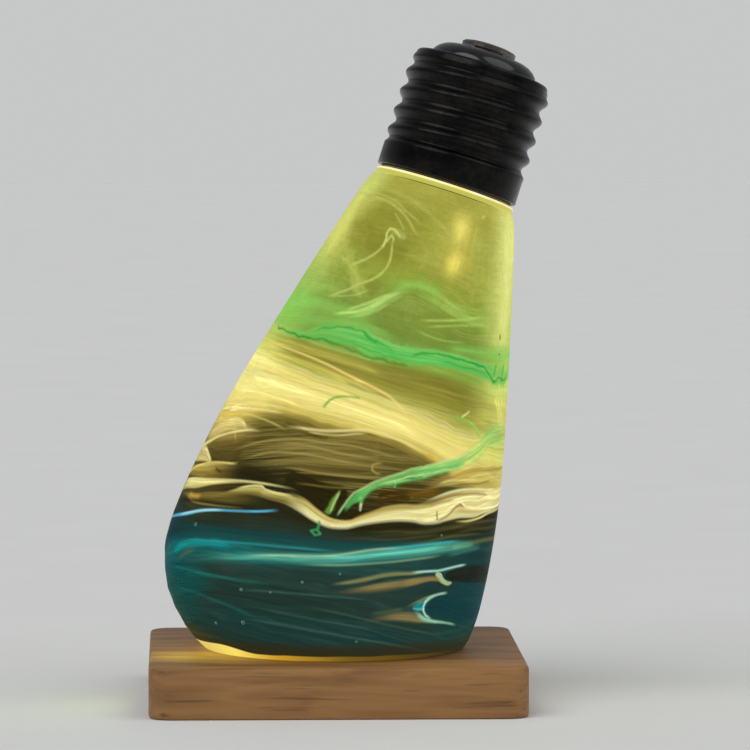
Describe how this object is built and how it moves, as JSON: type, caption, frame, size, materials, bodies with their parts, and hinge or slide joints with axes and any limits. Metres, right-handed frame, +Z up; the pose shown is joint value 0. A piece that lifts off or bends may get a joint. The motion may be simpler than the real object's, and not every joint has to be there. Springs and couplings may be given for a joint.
{
  "type": "resin desk lamp",
  "caption": "Small leaning desk lamp: a bulb-shaped body of cast resin with swirled colours and a screw cap, lit from inside the neck, standing on a square wooden board.",
  "frame": {"origin": "centre of the wooden board's underside", "axes": "+Z up; the lamp leans mostly towards +X and a little towards +Y; the board's sides are parallel to X and Y"},
  "size_m": [0.0719, 0.0666, 0.1181],
  "materials": {
    "wood": "satin",
    "resin": "gloss",
    "lip": "satin",
    "black_metal": "satin",
    "button_metal": "satin",
    "black_gloss": "gloss",
    "black_plastic": "matte",
    "grey_plastic": "matte",
    "white_plastic": "satin",
    "window": "gloss",
    "white_board": "satin",
    "green_board": "satin",
    "led": "gloss",
    "steel": "satin",
    "brass": "satin",
    "ferrite": "matte",
    "seal": "matte",
    "red_pvc": "gloss",
    "black_pvc": "gloss"
  },
  "bodies": {
    "board": {"wooden_board": "wood"},
    "lamp": {"resin_body": "resin", "neck_ring": "lip", "thread_carrier": "black_plastic", "cap_seal": "seal", "return_strip": "brass", "led_window": "window", "led_board": "white_board", "led_1": "led", "led_2": "led", "led_3": "led", "led_screw_1": "steel", "led_screw_2": "steel", "driver_board": "green_board", "driver_chip": "black_plastic", "driver_coil": "ferrite", "red_lead": "red_pvc", "black_lead": "black_pvc", "cell_spring": "steel"},
    "cells": {"coin_cell_1": "steel", "coin_cell_2": "steel"},
    "cap": {"cap_shell": "black_metal", "cap_core": "grey_plastic", "cap_contact": "brass", "switch_board": "green_board", "tact_switch": "black_plastic", "cap_insulator": "black_gloss"},
    "button": {"centre_button": "button_metal", "switch_plunger": "white_plastic"}
  },
  "joints": [
    {"name": "lamp_lift", "type": "slide", "parent": "board", "child": "lamp", "axis": [0, 0, 1], "range_m": [0, 0.1]},
    {"name": "cells_travel", "type": "slide", "parent": "lamp", "child": "cells", "axis": [0.3059, 0.0843, 0.9483], "range_m": [0, 0.00907]},
    {"name": "cap_turn", "type": "hinge", "parent": "cells", "child": "cap", "pos_m": [0.02377, 0.00561, 0.10288], "axis": [0.3059, 0.0843, 0.9483], "range_deg": [0, 900]},
    {"name": "button_press", "type": "slide", "parent": "cap", "child": "button", "axis": [-0.3059, -0.0843, -0.9483], "range_m": [0, 0.0005], "stiffness_N_per_m": 2500, "springref_m": -0.0004}
  ],
  "couplings": [
    {"joint": "cap_turn", "follows": "cells_travel", "rad_per_m": 1731.6}
  ]
}
